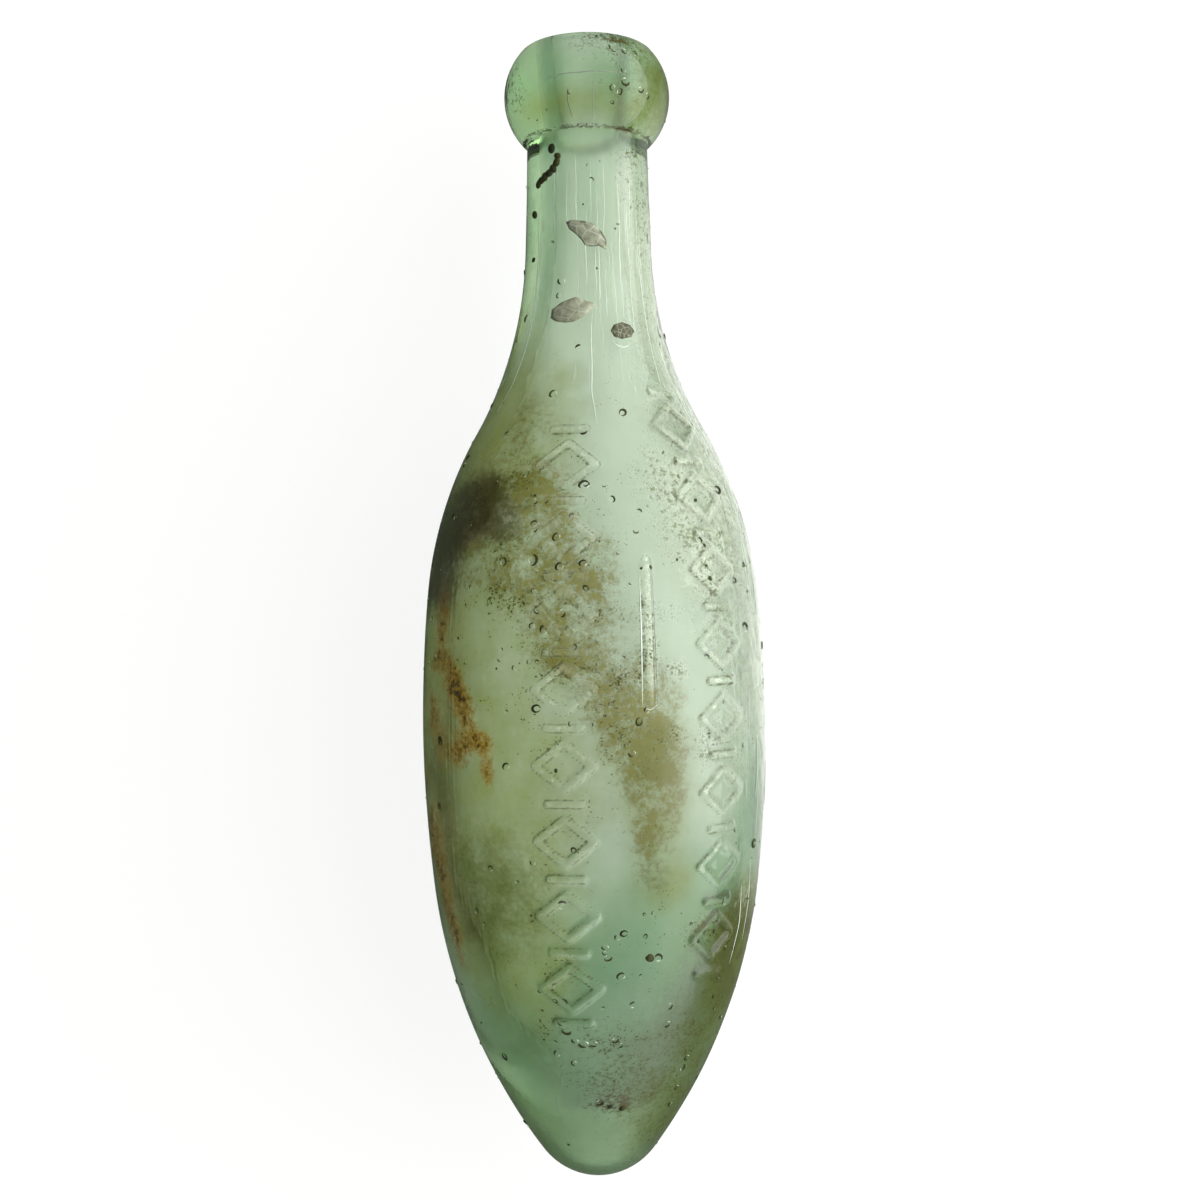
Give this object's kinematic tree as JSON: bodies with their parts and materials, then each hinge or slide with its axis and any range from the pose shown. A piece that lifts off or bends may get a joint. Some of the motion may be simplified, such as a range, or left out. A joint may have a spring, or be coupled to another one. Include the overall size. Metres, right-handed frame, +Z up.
{
  "type": "hamilton bottle",
  "caption": "Old pale green glass torpedo bottle for aerated water, lying on its side, with a pointed base, a blob lip, stains and dirt.",
  "frame": {"origin": "on the floor under the middle of the bottle's length, where its box meets the floor", "axes": "+Z up, +Y along the bottle's axis towards the mouth, +X to the right as seen from above"},
  "size_m": [0.0702, 0.23, 0.0702],
  "materials": {
    "glass": "polished"
  },
  "bodies": {
    "root": {"bottle": "glass"}
  },
  "joints": []
}
